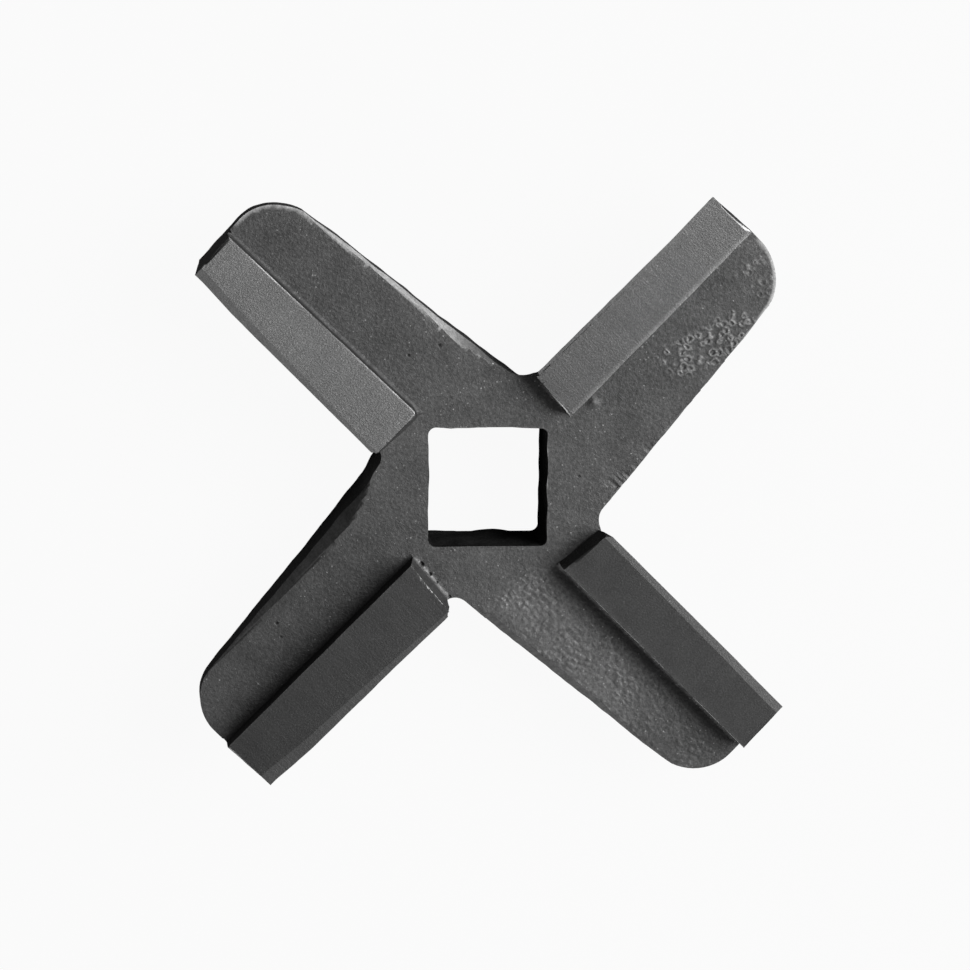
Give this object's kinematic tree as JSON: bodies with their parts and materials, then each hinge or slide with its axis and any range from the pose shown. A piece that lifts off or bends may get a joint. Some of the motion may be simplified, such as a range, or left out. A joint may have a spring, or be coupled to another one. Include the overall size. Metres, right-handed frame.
{
  "type": "meat grinder knife",
  "caption": "Cast cross-shaped meat grinder knife with raised, undercut cutting bars on tapered arms and a square drive hole",
  "frame": {"origin": "where the axis of the square drive hole meets the flat underside of the hub", "axes": "+Z is the axis of rotation and points to the cutting side; X and Y are parallel to the sides of the drive hole, and the arms lie on the diagonals between them"},
  "size_m": [0.0614, 0.0614, 0.0148],
  "materials": {
    "knife": "sand-blasted casting, with dull ground tops on the bars and ground bevels"
  },
  "bodies": {
    "root": {"knife": "knife"}
  },
  "joints": []
}
